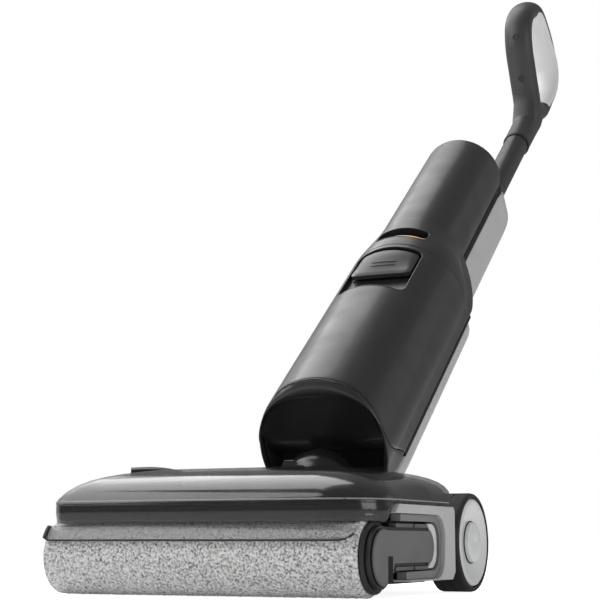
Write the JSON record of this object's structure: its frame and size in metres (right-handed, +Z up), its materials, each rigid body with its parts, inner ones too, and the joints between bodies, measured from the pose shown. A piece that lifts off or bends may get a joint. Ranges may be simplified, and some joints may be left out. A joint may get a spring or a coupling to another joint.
{
  "type": "wet dry floor scrubber",
  "caption": "Cordless upright wet and dry floor scrubber: a wide floor head with a driven pile roller, a two-way neck, a leaning body with tanks and motor, and a loop grip on a pole.",
  "frame": {"origin": "middle of the machine's footprint on the floor, with the body leaning back as in use", "axes": "+Z up, +Y from the roller towards the user, along the machine's length, +X across the head towards the drive arm"},
  "size_m": [0.29, 1.01, 0.7711],
  "materials": {
    "dark_plastic": "satin charcoal moulding",
    "black_plastic": "fine-grained black moulding",
    "smoke_cover": "smoky transparent, polished",
    "clear_strip": "translucent grey, polished",
    "light_grey_plastic": "satin light grey moulding",
    "mid_grey_plastic": "satin mid grey moulding",
    "hub_plastic": "smooth silver-grey moulding",
    "microfibre": "short white pile with dark specks",
    "tyre_rubber": "smooth black rubber",
    "seal_rubber": "black rubber",
    "steel": "turned steel",
    "circuit_board": "green solder mask",
    "filter_foam": "pleated white filter"
  },
  "bodies": {
    "main_body": {"swivel_disc": "black_plastic", "bottom_shroud": "dark_plastic", "shoulder_housing": "dark_plastic", "motor_housing": "dark_plastic", "top_cap": "black_plastic", "control_board": "circuit_board", "suction_motor": "steel", "rear_cover": "light_grey_plastic", "battery_pack": "black_plastic", "spine_frame": "black_plastic", "water_pump": "black_plastic", "pole": "dark_plastic", "grip_shell": "dark_plastic", "grip_lining": "light_grey_plastic"},
    "neck": {"neck_barrel": "dark_plastic"},
    "head": {"roller_motor": "steel", "drive_belt": "seal_rubber", "arm_panel": "mid_grey_plastic", "arm_housing": "black_plastic", "roller_hood": "black_plastic", "front_strip": "clear_strip", "side_frame_right": "light_grey_plastic", "side_frame_left": "light_grey_plastic", "side_liner_right": "mid_grey_plastic", "head_chassis": "black_plastic", "suction_duct": "dark_plastic", "scraper_bar": "seal_rubber", "spray_bar": "dark_plastic", "floor_squeegee": "seal_rubber", "rear_deck": "black_plastic", "pivot_lug_left": "dark_plastic", "pivot_lug_right": "dark_plastic", "pivot_pin_left": "steel", "pivot_pin_right": "steel", "axle_left": "steel", "axle_right": "steel"},
    "cover": {"head_cover": "smoke_cover"},
    "wheel_left": {"tyre_left": "tyre_rubber", "hub_left": "hub_plastic"},
    "wheel_right": {"tyre_right": "tyre_rubber", "hub_right": "hub_plastic"},
    "drive_hub": {"roller_drive_hub": "black_plastic"},
    "roller": {"roller_pile": "microfibre", "roller_core": "mid_grey_plastic", "roller_end_cap": "dark_plastic", "roller_end_ring": "seal_rubber"},
    "motor_shaft": {"motor_pulley": "steel"},
    "tank": {"dirty_tank": "dark_plastic", "tank_top": "dark_plastic", "tank_filter": "filter_foam", "riser_pipe": "dark_plastic"},
    "float": {"tank_float": "light_grey_plastic"},
    "tank_release": {"tank_button": "mid_grey_plastic"},
    "water_tank": {"clean_tank": "light_grey_plastic", "filler_cap": "dark_plastic"},
    "power_key": {"power_button": "black_plastic"},
    "mode_key": {"mode_button": "black_plastic"},
    "fan": {"suction_fan": "dark_plastic"}
  },
  "joints": [
    {"name": "neck_swivel", "type": "hinge", "parent": "main_body", "child": "neck", "pos_m": [0, -0.2834, 0.10678], "axis": [0, 0.1132, 0.9936], "range_deg": [-24, 24]},
    {"name": "neck_pitch", "type": "hinge", "parent": "neck", "child": "head", "pos_m": [0, -0.30308, 0.072], "axis": [1, 0, 0], "range_deg": [-51.5, 30]},
    {"name": "wheel_left_spin", "type": "hinge", "parent": "head", "child": "wheel_left", "pos_m": [-0.13, -0.28548, 0.0414], "axis": [1, 0, 0], "continuous": true},
    {"name": "wheel_right_spin", "type": "hinge", "parent": "head", "child": "wheel_right", "pos_m": [0.13, -0.28548, 0.0414], "axis": [1, 0, 0], "continuous": true},
    {"name": "roller_spin", "type": "hinge", "parent": "head", "child": "drive_hub", "pos_m": [0, -0.47348, 0.0302], "axis": [1, 0, 0], "continuous": true},
    {"name": "roller_removal", "type": "slide", "parent": "drive_hub", "child": "roller", "axis": [-1, 0, 0], "range_m": [0, 0.3]},
    {"name": "motor_spin", "type": "hinge", "parent": "head", "child": "motor_shaft", "pos_m": [0.12, -0.37908, 0.038], "axis": [1, 0, 0], "continuous": true},
    {"name": "cover_lift", "type": "slide", "parent": "head", "child": "cover", "axis": [0, 0, 1], "range_m": [0, 0.015]},
    {"name": "tank_removal", "type": "slide", "parent": "main_body", "child": "tank", "axis": [0, -0.6225, 0.7826], "range_m": [0, 0.12]},
    {"name": "float_rise", "type": "slide", "parent": "tank", "child": "float", "axis": [0, 0.7826, 0.6225], "range_m": [0, 0.04]},
    {"name": "tank_button_press", "type": "slide", "parent": "tank", "child": "tank_release", "axis": [0, 0.6225, -0.7826], "range_m": [0, 0.002], "stiffness_N_per_m": 1000, "springref_m": -0.002},
    {"name": "water_tank_removal", "type": "slide", "parent": "main_body", "child": "water_tank", "axis": [0, 0.6225, -0.7826], "range_m": [0, 0.05]},
    {"name": "power_button_press", "type": "slide", "parent": "main_body", "child": "power_key", "axis": [0, 0.9972, 0.0751], "range_m": [0, 0.001], "stiffness_N_per_m": 500, "springref_m": -0.001},
    {"name": "mode_button_press", "type": "slide", "parent": "main_body", "child": "mode_key", "axis": [0, 0.8959, 0.4443], "range_m": [0, 0.001], "stiffness_N_per_m": 500, "springref_m": -0.001},
    {"name": "suction_fan_spin", "type": "hinge", "parent": "main_body", "child": "fan", "pos_m": [0, 0.00501, 0.37069], "axis": [0, 0.7826, 0.6225], "continuous": true}
  ],
  "couplings": [
    {"joint": "motor_spin", "follows": "roller_spin", "ratio": 2}
  ]
}
